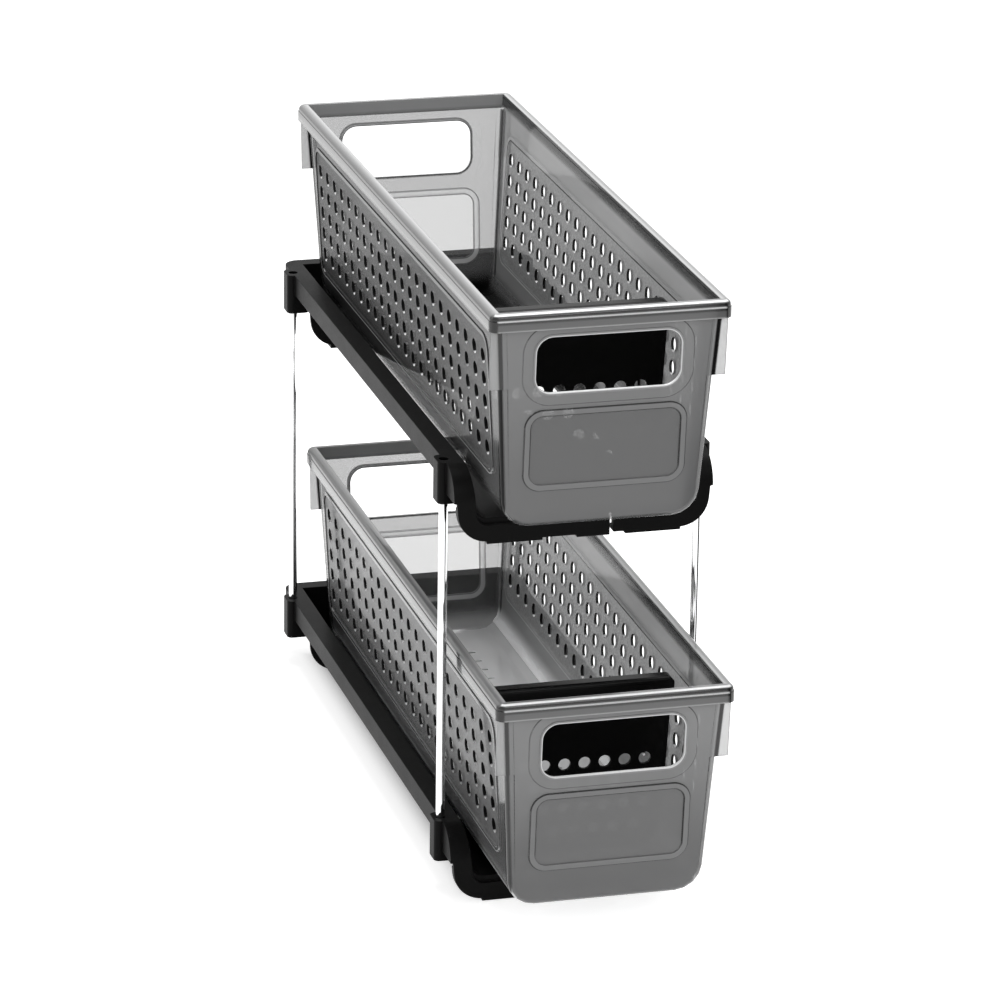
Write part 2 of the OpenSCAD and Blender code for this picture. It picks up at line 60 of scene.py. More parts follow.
cameraLook = {
    "yaw": 0.26905,                        # radians to the right of straight ahead
    "pitch": 0.33186,                      # radians down
    "roll": 0.0139017,
    "place": (-0.6702, -2.42995, 1.0226),  # metres
    "lens": 187.2,                         # millimetres, as is the sensor's width
    "sensor": 36,
    "near": 0.1,                           # metres, the nearest and the farthest thing seen
    "far": 60,
}


def addCamera():
    yaw, pitch, roll = cameraLook["yaw"], cameraLook["pitch"], cameraLook["roll"]
    ahead = Vector((math.sin(yaw) * math.cos(pitch), math.cos(yaw) * math.cos(pitch), -math.sin(pitch)))
    right = Vector((math.cos(yaw), -math.sin(yaw), 0))
    up = right.cross(ahead)
    tiltedRight = right * math.cos(roll) + up * math.sin(roll)
    tiltedUp = up * math.cos(roll) - right * math.sin(roll)
    camera = bpy.data.objects.new("camera", bpy.data.cameras.new("camera"))
    bpy.context.scene.collection.objects.link(camera)
    turn = Matrix((tiltedRight, tiltedUp, -ahead)).transposed().to_4x4()
    turn.translation = Vector(cameraLook["place"])
    camera.matrix_world = turn
    camera.data.lens = cameraLook["lens"]
    camera.data.sensor_width = cameraLook["sensor"]
    camera.data.clip_start = cameraLook["near"]
    camera.data.clip_end = cameraLook["far"]
    bpy.context.scene.camera = camera
    bpy.context.scene.view_settings.view_transform = "Standard"
    print("camera placed")


# Shader maths: a wrapped socket, so that patterns read as sums

class Sock:
    def __init__(self, tree, link):
        self.tree, self.link = tree, link

    def maths(self, operation, other=None, clamp=False, flip=False):
        node = self.tree.nodes.new("ShaderNodeMath")
        node.operation, node.use_clamp = operation, clamp
        for place, value in enumerate((other, self) if flip else (self, other)):
            if isinstance(value, Sock):
                self.tree.links.new(value.link, node.inputs[place])
            elif value is not None:
                node.inputs[place].default_value = value
        return Sock(self.tree, node.outputs[0])

    def __add__(self, other):
        return self.maths("ADD", other)

    def __radd__(self, other):
        return self.maths("ADD", other)

    def __sub__(self, other):
        return self.maths("SUBTRACT", other)

    def __rsub__(self, other):
        return self.maths("SUBTRACT", other, flip=True)

    def __mul__(self, other):
        return self.maths("MULTIPLY", other)

    def __rmul__(self, other):
        return self.maths("MULTIPLY", other)

    def __truediv__(self, other):
        return self.maths("DIVIDE", other)

    def __pow__(self, other):
        return self.maths("POWER", other)

    def __gt__(self, other):
        return self.maths("GREATER_THAN", other)

    def __lt__(self, other):
        return self.maths("LESS_THAN", other)

    def size(self):
        return self.maths("ABSOLUTE")

    def most(self, other):
        return self.maths("MAXIMUM", other)

    def least(self, other):
        return self.maths("MINIMUM", other)

    def clipped(self):
        return self.maths("ADD", 0, clamp=True)


class Finish:
    # One material: its tree, the piece's own coordinates in metres and a method for any node
    def __init__(self, name, origin=(0, 0, 0)):
        self.material = bpy.data.materials.new(name)
        self.material.use_nodes = True
        self.tree = self.material.node_tree
        self.shader = self.tree.nodes["Principled BSDF"]
        texture = self.tree.nodes.new("ShaderNodeTexCoord")
        self.place = self.add("Mapping", {"vector_type": "POINT"}, "Vector", Vector=texture.outputs["Object"],
                              Location=[-v for v in origin])
        apart = self.add("SeparateXYZ", {}, None, Vector=self.place)
        self.x, self.y, self.z = (Sock(self.tree, apart.outputs[axis]) for axis in "XYZ")

    def add(self, kind, settings, out, **values):
        # A node of that kind; its settings first, then its sockets, where _ in a name stands for a space
        node = self.tree.nodes.new("ShaderNode" + kind)
        for key, value in settings.items():
            if key == "stops":
                self.setStops(node.color_ramp, value)
            else:
                setattr(node, key, value)
        for key, value in values.items():
            self.feed(node.inputs[key.replace("_", " ")], value)
        return node if out is None else Sock(self.tree, node.outputs[out])

    def feed(self, socket, value):
        if isinstance(value, Sock):
            value = value.link
        if isinstance(value, bpy.types.NodeSocket):
            self.tree.links.new(value, socket)
        else:
            socket.default_value = value

    def setStops(self, ramp, stops):
        while len(ramp.elements) < len(stops):
            ramp.elements.new(0.5)
        for element, (position, value) in zip(ramp.elements, stops):
            element.position = position
            element.color = (value, value, value, 1)

    def noise(self, scale, detail=2.0, roughness=0.5, distortion=0.0, stretch=(1, 1, 1)):
        spread = self.add("Mapping", {}, "Vector", Vector=self.place, Scale=stretch)
        return self.add("TexNoise", {}, "Fac", Vector=spread, Scale=scale, Detail=detail,
                        Roughness=roughness, Distortion=distortion)

    def ramp(self, value, low, high, bottom=0.0, top=1.0):
        return self.add("MapRange", {"interpolation_type": "SMOOTHSTEP"}, "Result", Value=value,
                        From_Min=low, From_Max=high, To_Min=bottom, To_Max=top)

    def grey(self, value, warmth=1.0):
        # A value turned into a nearly neutral colour
        return self.add("CombineColor", {}, "Color", Red=value * warmth, Green=value, Blue=value / warmth)

    def bump(self, height, strength, distance, under=None):
        values = {"Height": height, "Strength": strength, "Distance": distance}
        if under is not None:
            values["Normal"] = under
        return self.add("Bump", {}, "Normal", **values)

    def use(self, **values):
        for key, value in values.items():
            self.feed(self.shader.inputs[key.replace("_", " ")], value)
        return self.material


# Sizes of the baskets: across from the middle, along from the rim's front and down from its top

tiers = {"lower": "lower_basket", "upper": "upper_basket"}
basketWall = {
    "rimHeight": 8.5 * mm,
    "rimRadius": 4.5 * mm,
    "sideIn": 4.5 * mm,          # how far the walls stand in from the rim's outer edge at the top
    "endIn": 3.4 * mm,
    "sideSlope": math.tan(math.radians(3.4)),
    "endSlope": math.tan(math.radians(5)),
    "thickness": 1.4 * mm,
    "borderTop": 17.8 * mm,
    "borderBottom": 88.8 * mm,
    "borderFront": 25.4 * mm,
    "borderBack": 381.5 * mm,
    "borderRadius": 9 * mm,
    "borderBand": 2.2 * mm,
    "labelTop": 50.4 * mm,
    "labelBottom": 91.7 * mm,
    "labelHalf": 40 * mm,
    "labelRadius": 9 * mm,
    "labelBand": 3 * mm,
    "gripTop": 13.3 * mm,
    "gripBottom": 41.6 * mm,
    "gripHalf": 35.6 * mm,
    "gripRadius": 8 * mm,
    "gripBead": 1.4 * mm,
    "gripPad": 6.4 * mm,
    "bellyX": 40 * mm,           # the side walls lie outside this
    "floorZ": 12 * mm,           # and the floor below this
    "rimIn": 2.9 * mm,           # width of the rim's outer bead
    "slack": 0.3 * mm,
    "holeTurn": 0.2,             # a hole's wall turns no further than this to the side
    "floorTurn": 0.7,            # and the floor faces up or down by more than this
}


def basketFrame(tier):
    low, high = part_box(tiers[tier])
    return Vector((0, low.y, low.z)), high - low


# Smoke-grey clear plastic. Grey levels are written as they are seen, from 0 to 255, and a cover says
# how much of one face is covered; a wall has two

smokeLook = {
    "wall": 135,                                 # grey of the walls
    "floor": {"lower": 253, "upper": 50},        # and of each basket's floor: lit and shaded copies of one plastic, painted light makes the lower one nearly white
    "sideCover": 0.72,
    "frontCover": 0.78,
    "backCover": 0.44,                           # the back wall lets more light through
    "floorCover": {"lower": 0.98, "upper": 0.12},
    "endReach": (18 * mm, 12 * mm),              # distances from the rim's outline where an end wall fades in
    "floorReach": (16 * mm, 3 * mm),             # heights between which the floor fades in
    "rimCover": 0.94,
    "cloud": (26, 3.0, 0.55, 0.4),               # scale, detail, roughness and distortion of a noise
    "cloudTone": 0.08,                           # how far it changes the grey
    "cloudRough": 0.05,
    "flow": (60, 2.0, 0.5, 0.3, (1, 0.25, 1)),   # the flow of the plastic in the mould, stretched along it
    "flowTone": 0.05,
    "flowHeight": 0.3,
    "flowBump": (0.05, 1 * mm),                  # strength and height
    "gloss": 0.12,                               # roughness of the polished walls
    "coat": 0.5,
    "coatRough": 0.05,
    "specular": 0.35,
    "warmth": 0.995,
    "bending": 1.49,                             # index of refraction
    "sideShine": {"lower": 0.8, "upper": 0.2},   # share of coat and specular that the side walls keep
}
# Where one paint of the smoke plastic gives way to the next
smokeBlend = {
    "edge": 0.2 * mm,                    # half the width of a soft edge
    "line": (0.7, 0.3),                  # shares of its width, out from its middle, where a line ends
    "sideSkin": (1.0 * mm, 0.5 * mm),    # depths in the wall where its outer face's paint ends
    "endSkin": (1.0 * mm, 0.4 * mm),
    "bead": 0.3 * mm,                    # how far past the bead its grey ends
    "beadGlint": (0.7 * mm, 0.3 * mm),
    "beadShade": (0.6 * mm, 0.3 * mm),
    "mouth": (7.5 * mm, 5 * mm),         # depths where the painted shade inside the rim ends
    "corner": (6 * mm, 4.5 * mm),        # distances from an end wall where the painted shade line down the corner ends
    "cornerIn": 0.6 * mm,                # and how far in from the side wall's face the line runs
    "rimTurn": 0.6 * mm,                 # half the width over which the rim's sides turn into its ends
    "rimCorner": (-4.2 * mm, -2.9 * mm), # the painted dark reflections at the rim's corners fade in this far inside both edges
    "rimTop": (0.4 * mm, 1.6 * mm),      # and this far below the rim's top
}
# Grey and cover of each paint; without a cover, the wall keeps its own. Most are painted light and shade:
# dark reflections at the rim's corners, shade inside the mouth, highlights on the bands, a glint on the
# grip's bead and shade on its inner side
smokePaint = {
    # painted dark reflection, as streaks at the rim's corners
    "streak": (18, 0.97),
    "mouthShadeSide": (88, 0.86),
    "mouthShadeEnd": (160, 0.86),
    "bandOutside": (150, 0.82),
    "bandInside": (212, 0.9),
    "bandFront": (142, None),
    "bandBack": (235, 0.5),
    "bead": (152, 0.92),
    "beadGlint": (245, 0.98),
    "beadShade": (18, 0.95),
    "tab": (205, 0.5),
}
# Painted lines of shade and highlight along the steps in the moulding: grey, cover and width
smokeLines = {
    "corner": (18, 0.97, 2.2 * mm),
    "field": (18, 0.95, 0.8 * mm),
    "border": (60, 0.9, 0.6 * mm),
    "borderGlint": (215, 0.9, 0.8 * mm),
    "label": (18, 0.95, 0.7 * mm),
    "frame": (62, 0.92, 0.6 * mm),
    "backLabel": (120, 0.75, 0.6 * mm),
    "pad": (104, None, 0.5 * mm),
}


def linear(level):
    # A grey level from 0 to 255 as a linear value
    return ((level / 255 + 0.055) / 1.055) ** 2.4


class SmokeFinish(Finish):
    # What all of a basket's surfaces share; paint() lays a grey and a cover over it where a mask says so
    def __init__(self, part, tier):
        corner, span = basketFrame(tier)
        super().__init__("smoke_" + part + "_" + tier, (0, corner.y, corner.z))
        size, look = basketWall, smokeLook
        self.span = span
        self.across = self.x.size()
        self.depth = span.z - self.z
        self.fromMiddle = (self.y - span.y / 2).size()
        self.insideSide = (span.x / 2 - size["sideIn"]) - self.depth * size["sideSlope"] - self.across
        self.insideEnd = (span.y / 2 - size["endIn"]) - self.depth * size["endSlope"] - self.fromMiddle
        cloud, flow = self.noise(*look["cloud"]), self.noise(*look["flow"])
        onFront = self.ramp(self.y, *look["endReach"])
        onBack = self.ramp(span.y - self.y, *look["endReach"])
        onFloor = self.ramp(self.z, *look["floorReach"]) * (1 - onFront)
        cover = look["sideCover"] + onFront * (look["frontCover"] - look["sideCover"])
        cover = cover + onBack * (look["backCover"] - look["sideCover"])
        self.cover = cover + onFloor * (look["floorCover"][tier] - look["sideCover"])
        wall, floor = linear(look["wall"]), linear(look["floor"][tier])
        pattern = look["cloudTone"] * (cloud - 0.5) + look["flowTone"] * (flow - 0.5)
        self.tone = (wall + onFloor * (floor - wall)) * (1 + pattern)
        self.rough = look["gloss"] + look["cloudRough"] * (cloud - 0.5)
        self.height = flow * look["flowHeight"]

    def paint(self, mask, level, cover=None):
        tone = linear(level) if isinstance(level, (int, float)) else level
        self.tone = self.tone + mask * (tone - self.tone)
        if cover is not None:
            self.cover = self.cover + mask * (cover - self.cover)

    def drawLine(self, kind, distance, place, where):
        # A line where a distance reaches a place, as strong as the mask where is
        level, cover, width = smokeLines[kind]
        line = self.ramp((distance - place).size(), *(width * share for share in smokeBlend["line"]))
        self.paint(where * line, level, cover)

    def outside(self, across, down, middle, half, radius):
        # Distance outside a rectangle with round corners, negative inside it
        a = (across - middle[0]).size() - (half[0] - radius)
        b = (down - middle[1]).size() - (half[1] - radius)
        return (a.most(0) ** 2 + b.most(0) ** 2) ** 0.5 + a.most(b).least(0) - radius

    def band(self, distance, width):
        # The strip just inside an outline
        edge = smokeBlend["edge"]
        return self.ramp(distance, edge, -edge) * self.ramp(distance, -width - edge, -width + edge)

    def rimReflectionGrey(self, way, side):
        # The rim's grey, with its painted highlights and painted reflections, read from its stops
        low, high = rimReflectionGreys["reach"]
        stops = [((at - low) / (high - low), linear(level)) for at, level in rimReflectionGreys[side]]
        return self.add("ValToRGB", {"stops": stops}, "Color", Fac=(way - low) / (high - low))

    def paintMouthShade(self, kind):
        # The flared strip inside the mouth, under the rim, gets a painted shade: a grey and cover of its own
        self.paint(self.ramp(self.depth, *smokeBlend["mouth"]), *smokePaint[kind])

    def drawCorner(self):
        # A painted shade line down each corner of the walls, below the rim
        below = self.depth > basketWall["rimHeight"]
        near = self.ramp(self.insideEnd, *smokeBlend["corner"]) * below
        self.drawLine("corner", self.insideSide, smokeBlend["cornerIn"], near)

    def done(self, under=None, shine=1.0):
        look = smokeLook
        return self.use(Base_Color=self.grey(self.tone, look["warmth"]), Roughness=self.rough,
                        Alpha=self.cover.clipped(), Normal=self.bump(self.height, *look["flowBump"], under),
                        Coat_Weight=look["coat"] * shine, Coat_Roughness=look["coatRough"],
                        Specular_IOR_Level=look["specular"] * shine, IOR=look["bending"])


# Grey of the rim, by the distance from its upper outer edge in millimetres: below 0 inwards over its top,
# above 0 down its outer face. Its light and dark runs are painted highlights and painted reflections on the
# rim's grey
rimReflectionGreys = {
    "reach": (-6, 9),
    "ends": [(-5.4, 112), (-4.6, 165), (-3.4, 120), (-2.8, 128), (-2.1, 245), (-0.7, 255), (-0.2, 150),
             (0.3, 40), (1.5, 38), (2.2, 70), (2.7, 230), (3.3, 225), (3.8, 44), (4.4, 56), (5.2, 108),
             (7.6, 112), (8.3, 185)],
    "sides": [(-5.4, 140), (-4.8, 196), (-3.0, 142), (-1.5, 122), (-0.4, 108), (0.6, 90), (1.8, 60),
              (2.8, 48), (3.6, 64), (4.6, 86), (5.6, 110), (7.0, 148), (7.6, 120), (8.1, 66), (8.5, 58)],
}


def smokeRim(tier):
    # Rim: a run of greys round its outline for the sides, one for the ends, both with painted highlights and
    # painted reflections, and painted dark reflections as streaks at its corners
    look = SmokeFinish("rim", tier)
    half = (look.span.x / 2, look.span.y / 2)
    overSide = look.across - half[0]
    overEnd = look.fromMiddle - half[1]
    outside = look.outside(look.across, look.fromMiddle, (0, 0), half, basketWall["rimRadius"])
    way = (look.depth + outside) / mm
    onEnd = look.ramp(overEnd - overSide, -smokeBlend["rimTurn"], smokeBlend["rimTurn"])
    look.paint(1, look.rimReflectionGrey(way, "sides"), smokeLook["rimCover"])
    look.paint(onEnd, look.rimReflectionGrey(way, "ends"))
    # Painted dark reflections, as streaks down the rim's corners
    inCorner = look.ramp(overSide.least(overEnd), *smokeBlend["rimCorner"])
    look.paint(inCorner * look.ramp(look.depth, *smokeBlend["rimTop"]), *smokePaint["streak"])
    return look.done()


# The side walls: their sanded field, the painted shade that darkens them outside and the painted light that
# lightens them inside
smokeSides = {
    "sanded": 0.42,              # roughness of the field
    "grain": (950, 3.0, 0.6),    # grains of the sanded texture per metre, detail and roughness
    "grainTone": 1.3,
    "grainCover": 0.2,
    "grainBump": (0.3, 0.2 * mm),
    "paintedShade": {"lower": (0.42, 0.86), "upper": (0.66, 0.90)},   # share of painted shade at the top and at the bottom
    "paintedShadeDepth": (40 * mm, 96 * mm),
    "frontShare": 0.30,          # share of the painted shade at the front, which grows to all of it backwards
    "frontReach": (20 * mm, 150 * mm),
    # share of painted light added on the inner faces
    "paintedLight": {"lower": 1.05, "upper": 0.95},
    "lowLine": (6 * mm, 3 * mm),     # above the border's bottom, where its painted shade line turns into a painted highlight
}


def smokeSide(tier):
    # Side walls: the raised border, its painted highlight and painted lines of shade and highlight, and the
    # sanded field inside it; painted shade darkens the outer faces downwards and backwards and painted light
    # lightens the inner faces
    look = SmokeFinish("side", tier)
    size, side = basketWall, smokeSides
    middle = ((size["borderFront"] + size["borderBack"]) / 2, (size["borderTop"] + size["borderBottom"]) / 2)
    half = (size["borderBack"] - middle[0], size["borderBottom"] - middle[1])
    outside = look.outside(look.y, look.depth, middle, half, size["borderRadius"])
    band = look.band(outside, size["borderBand"])
    field = look.ramp(outside, -size["borderBand"], -size["borderBand"] - 3 * smokeBlend["edge"])
    outer = look.ramp(look.insideSide, *smokeBlend["sideSkin"])
    low = look.ramp(size["borderBottom"] - look.depth, *side["lowLine"])
    grain = look.noise(*side["grain"]) - 0.5
    paintedShade = look.ramp(look.depth, *side["paintedShadeDepth"], *side["paintedShade"][tier])
    paintedShade = paintedShade * look.ramp(look.y, *side["frontReach"], side["frontShare"], 1.0)
    # Painted shade on the outer faces, deeper downwards and backwards, and painted light on the inner faces
    shares = 1 + side["paintedLight"][tier] * (1 - outer) - outer * paintedShade
    look.tone = look.tone * (1 + field * grain * side["grainTone"]) * shares
    # Painted highlight on the border's band, lighter inside than outside, and painted lines of shade along
    # its edges, which turn into a painted highlight along its bottom
    look.paint(band * (1 - low) * outer, *smokePaint["bandOutside"])
    look.paint(band * (1 - low) * (1 - outer), *smokePaint["bandInside"])
    look.drawLine("field", outside, -size["borderBand"], 1 - low)
    look.drawLine("border", outside, 0, (1 - low) * outer)
    look.drawLine("borderGlint", outside, -1.5 * smokeBlend["edge"], low)
    look.paintMouthShade("mouthShadeSide")
    look.drawCorner()
    look.rough = look.rough + field * (side["sanded"] - smokeLook["gloss"])
    look.cover = look.cover + field * grain * side["grainCover"]
    grainNormal = look.bump((grain + 0.5) * field, *side["grainBump"])
    return look.done(grainNormal, smokeLook["sideShine"][tier])


# The end walls: the painted shade that darkens them downwards, and the label's plate and frame
smokeEnds = {
    "shadeFall": {"lower": (1.42, 0.70), "upper": (1.34, 0.84)},     # painted light and shade: share of the grey at the top and the bottom
    "shadeFallDepth": (10 * mm, 105 * mm),
    "label": {"lower": 124, "upper": 117},
    "backLabelCover": 0.12,          # how much clearer the back wall's label is
    "frameTop": (16 * mm, 10 * mm),  # below the label's middle, where the painted shade line along its frame's inner edge ends
}


def smokeEnd(tier):
    # End walls: handle bead with its painted glint and shade, label frame with its painted highlight and
    # lines of shade, and the tabs that carry the wall on past the corners
    look = SmokeFinish("end", tier)
    size, end, blend = basketWall, smokeEnds, smokeBlend
    isBack = look.y > look.span.y / 2
    isFront = 1 - isBack
    outer = look.ramp(look.insideEnd, *blend["endSkin"])
    labelMiddle = (size["labelTop"] + size["labelBottom"]) / 2
    gripMiddle = (size["gripTop"] + size["gripBottom"]) / 2
    label = look.outside(look.across, look.depth, (0, labelMiddle),
                         (size["labelHalf"], labelMiddle - size["labelTop"]), size["labelRadius"])
    grip = look.outside(look.across, look.depth, (0, gripMiddle),
                        (size["gripHalf"], gripMiddle - size["gripTop"]), size["gripRadius"])
    band = look.band(label, size["labelBand"])
    plate = look.ramp(label, -size["labelBand"], -size["labelBand"] - 2 * blend["edge"])
    upper = look.ramp(look.depth - labelMiddle, *end["frameTop"])
    # Painted light and shade: lighter at the top, darker towards the bottom
    look.tone = look.tone * look.ramp(look.depth, *end["shadeFallDepth"], *end["shadeFall"][tier])
    look.paint(plate * isFront, end["label"][tier])
    look.cover = look.cover - plate * isBack * end["backLabelCover"]
    # Painted highlight on the label frame's band, and painted lines of shade along its edges
    look.paint(band * isFront, *smokePaint["bandFront"])
    look.paint(band * isBack, *smokePaint["bandBack"])
    look.drawLine("label", label, -size["labelBand"], upper * isFront)
    look.drawLine("frame", label, 0, isFront)
    for place in (-size["labelBand"], 0):
        look.drawLine("backLabel", label, place, isBack)
    # Painted shade line round the grip's pad; a painted glint on the bead outside and painted shade on its
    # inner side
    look.drawLine("pad", grip, size["gripPad"], isFront * outer)
    bead = look.ramp(grip, size["gripBead"] + blend["bead"], size["gripBead"])
    look.paint(bead * outer, *smokePaint["bead"])
    look.paint(look.ramp(grip, *blend["beadGlint"]) * outer, *smokePaint["beadGlint"])
    look.paint(look.ramp(grip, *blend["beadShade"]) * (1 - outer), *smokePaint["beadShade"])
    look.paintMouthShade("mouthShadeEnd")
    onTab = (look.insideSide < 0) * (look.depth > size["rimHeight"])
    look.paint(onTab, *smokePaint["tab"])
    look.drawCorner()
    return look.done()


def smokeFloor(tier):
    return SmokeFinish("floor", tier).done()


# The cut walls of the holes, painted nearly black as shade
smokeHole = {
    "wall": 6,
    "glint": 235,
    "facingUp": (0.80, 0.97),        # upward share of the normal where the glint starts and is full
    "streak": (420, 2.0, 0.6, 0.5),
    "streakTone": 1.0,
    "streakRough": 0.2,
    "rough": 0.5,
    "cover": 0.97,
    "specular": 0.05,
}


def smokeHoles():
    # Painted nearly black as shade, with a painted glint where they face up
    look = Finish("smoke_holes")
    facing = look.add("NewGeometry", {}, "Normal")
    up = look.add("SeparateXYZ", {}, "Z", Vector=facing)
    streak = look.noise(*smokeHole["streak"]) - 0.5
    glint = look.ramp(up, *smokeHole["facingUp"]) * linear(smokeHole["glint"])
    tone = linear(smokeHole["wall"]) * (1 + smokeHole["streakTone"] * streak) + glint
    rough = smokeHole["rough"] + smokeHole["streakRough"] * streak
    return look.use(Base_Color=look.grey(tone), Roughness=rough, Alpha=smokeHole["cover"],
                    Specular_IOR_Level=smokeHole["specular"], IOR=smokeLook["bending"])


# Satin black of the trays, and the glossier black of the dividers

trayLook = {
    "black": 0.006,
    "warmth": 1.01,
    "cloud": (34, 4.0, 0.6, 0.6),
    "cloudTone": 0.3,          # how far clouds change the black
    "scuff": (220, 4.0, 0.65, 1.2, (1, 0.12, 1)),
    "scuffed": (0.62, 0.80),   # strengths of the scuffs' noise where they start and are full
    "scuffTone": 0.006,        # grey that they add
    "sheen": 0.42,             # roughness, and how far each texture changes it
    "cloudRough": 0.12,
    "grainRough": 0.10,
    "scuffRough": 0.05,
    "grain": (1900, 3.0, 0.6), # grains of the moulded texture per metre, detail and roughness
    "grainBump": (0.22, 0.25 * mm),
    "cloudBump": (0.08, 1.2 * mm),
    "specular": 0.06,
    "bending": 1.5,
}


def trayBlack():
    look = Finish("tray_black")
    grain, cloud = look.noise(*trayLook["grain"]), look.noise(*trayLook["cloud"])
    scuff = look.ramp(look.noise(*trayLook["scuff"]), *trayLook["scuffed"])
    tone = trayLook["black"] * (1 + trayLook["cloudTone"] * (cloud - 0.5))
    tone = tone + trayLook["scuffTone"] * scuff * cloud
    rough = trayLook["sheen"] + trayLook["cloudRough"] * (cloud - 0.5)
    rough = rough + trayLook["grainRough"] * (grain - 0.5) + trayLook["scuffRough"] * scuff
    normal = look.bump(grain, *trayLook["grainBump"])
    normal = look.bump(cloud, *trayLook["cloudBump"], normal)
    return look.use(Base_Color=look.grey(tone, trayLook["warmth"]), Roughness=rough, Normal=normal,
                    IOR=trayLook["bending"], Specular_IOR_Level=trayLook["specular"])


dividerLook = {
    "black": 0.005,
    "cloud": (48, 3.0, 0.55, 0.4),
    "cloudTone": 0.4,
    "sheen": 0.22,
    "cloudRough": 0.10,
    "drag": (300, 3.0, 0.6, 0.8, (0.2, 1, 1)),   # marks of goods that slide along it
    "dragRough": 0.08,
    "grain": (2400, 2.0, 0.5),
    "grainBump": (0.10, 0.2 * mm),
    "cloudBump": (0.10, 1 * mm),
    "specular": 0.1,
    "bending": 1.5,
}


def dividerBlack():
    look = Finish("divider_black")
    cloud, grain = look.noise(*dividerLook["cloud"]), look.noise(*dividerLook["grain"])
    drag = look.noise(*dividerLook["drag"])
    tone = dividerLook["black"] * (1 + dividerLook["cloudTone"] * (cloud - 0.5))
    rough = dividerLook["sheen"] + dividerLook["cloudRough"] * (cloud - 0.5)
    rough = rough + dividerLook["dragRough"] * (drag - 0.5)
    normal = look.bump(grain, *dividerLook["grainBump"])
    normal = look.bump(cloud, *dividerLook["cloudBump"], normal)
    return look.use(Base_Color=look.grey(tone), Roughness=rough, Normal=normal,
                    IOR=dividerLook["bending"], Specular_IOR_Level=dividerLook["specular"])


# Chrome of the poles, with the drawing lines of the rod under the plate

poleLook = {
    "chrome": 0.90,
    "warmth": 0.995,
    "polish": 0.05,                  # roughness
    "haze": (55, 3.0, 0.6),
    "hazeShare": 0.04,               # how far haze darkens and roughens the chrome
    "lines": (1400, 2.0, 0.5, 0.0, (1, 1, 0.01)),
    "lineShare": 0.03,               # and how far the drawing lines do
    "lineBump": (0.04, 0.1 * mm),
}


def poleChrome():
    look = Finish("pole_chrome")
    lines = look.noise(*poleLook["lines"])
    haze = poleLook["hazeShare"] * look.noise(*poleLook["haze"])
    streaks = poleLook["lineShare"] * (lines - 0.5)
    tone = poleLook["chrome"] - haze + streaks
    rough = poleLook["polish"] + haze + streaks
    return look.use(Base_Color=look.grey(tone, poleLook["warmth"]), Metallic=1.0, Roughness=rough.clipped(),
                    Normal=look.bump(lines, *poleLook["lineBump"]))


# Mesh helpers, and how a moulding's mesh is softened

softening = {
    "merge": 0.004 * mm,
    "flat": math.radians(0.6),      # faces that turn by less are made one
    "sharp": math.radians(32),      # edges that turn by more are rounded
    "smooth": math.radians(40),     # and up to here the shading runs across
    "segments": 2,
    "flatWeight": 80,               # how far large faces lead the shading of small ones
}


def onlySelect(piece):
    if bpy.context.object is not None and bpy.context.object.mode != "OBJECT":
        bpy.ops.object.mode_set(mode="OBJECT")
    bpy.ops.object.select_all(action="DESELECT")
    piece.select_set(True)
    bpy.context.view_layer.objects.active = piece


def applyModifier(piece, kind, name, **settings):
    modifier = piece.modifiers.new(name, kind)
    for key, value in settings.items():
        setattr(modifier, key, value)
    onlySelect(piece)
    bpy.ops.object.modifier_apply(modifier=modifier.name)


def mergedCopy(nodeName, name):
    # A node's mesh as a piece of its own, with its loose triangles joined
    piece = bpy.data.objects.new(name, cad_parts[nodeName].data.copy())
    piece.data.name = name
    piece.data.materials.clear()
    bpy.context.scene.collection.objects.link(piece)
    onlySelect(piece)
    bpy.ops.mesh.customdata_custom_splitnormals_clear()
    bpy.ops.object.mode_set(mode="EDIT")
    bpy.ops.mesh.select_mode(type="EDGE")
    bpy.ops.mesh.select_all(action="SELECT")
    bpy.ops.mesh.remove_doubles(threshold=softening["merge"])
    bpy.ops.mesh.select_mode(type="FACE")
    bpy.ops.mesh.select_all(action="DESELECT")
    bpy.ops.object.mode_set(mode="OBJECT")
    return piece


def selectSharp(piece, keepCrisp):
    # Flat faces are made whole, apart from those that touch a crisp place, and the sharp edges are selected
    points = piece.data.vertices
    for face in piece.data.polygons:
        face.select = not any(keepCrisp(points[point].co) for point in face.vertices)
    bpy.ops.object.mode_set(mode="EDIT")
    bpy.ops.mesh.dissolve_limited(angle_limit=softening["flat"])
    bpy.ops.mesh.select_mode(type="EDGE")
    bpy.ops.mesh.select_all(action="DESELECT")
    bpy.ops.mesh.edges_select_sharp(sharpness=softening["sharp"])
    bpy.ops.object.mode_set(mode="OBJECT")


def softenedCopy(nodeName, name, radius, keepCrisp=lambda place: False):
    # A node's mesh as a piece of its own, its sharp edges rounded as in the mould, apart from those whose
    # middle keepCrisp picks out
    piece = mergedCopy(nodeName, name)
    selectSharp(piece, keepCrisp)
    weights = piece.data.attributes.new("bevel_weight_edge", "FLOAT", "EDGE")
    points = piece.data.vertices
    for edge in piece.data.edges:
        middle = (points[edge.vertices[0]].co + points[edge.vertices[1]].co) / 2
        if edge.select and not keepCrisp(middle):
            weights.data[edge.index].value = 1.0
    applyModifier(piece, "BEVEL", "edges", width=radius, segments=softening["segments"],
                  limit_method="WEIGHT", use_clamp_overlap=False, miter_outer="MITER_ARC")
    low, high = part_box(nodeName)
    for point in piece.data.vertices:
        # A rounded corner may not stand out of the node's box
        point.co = [min(max(v, least), most) for v, least, most in zip(point.co, low, high)]
    onlySelect(piece)
    bpy.ops.object.shade_smooth_by_angle(angle=softening["smooth"])
    applyModifier(piece, "WEIGHTED_NORMAL", "shading", mode="FACE_AREA", weight=softening["flatWeight"],
                  keep_sharp=True)
    return piece


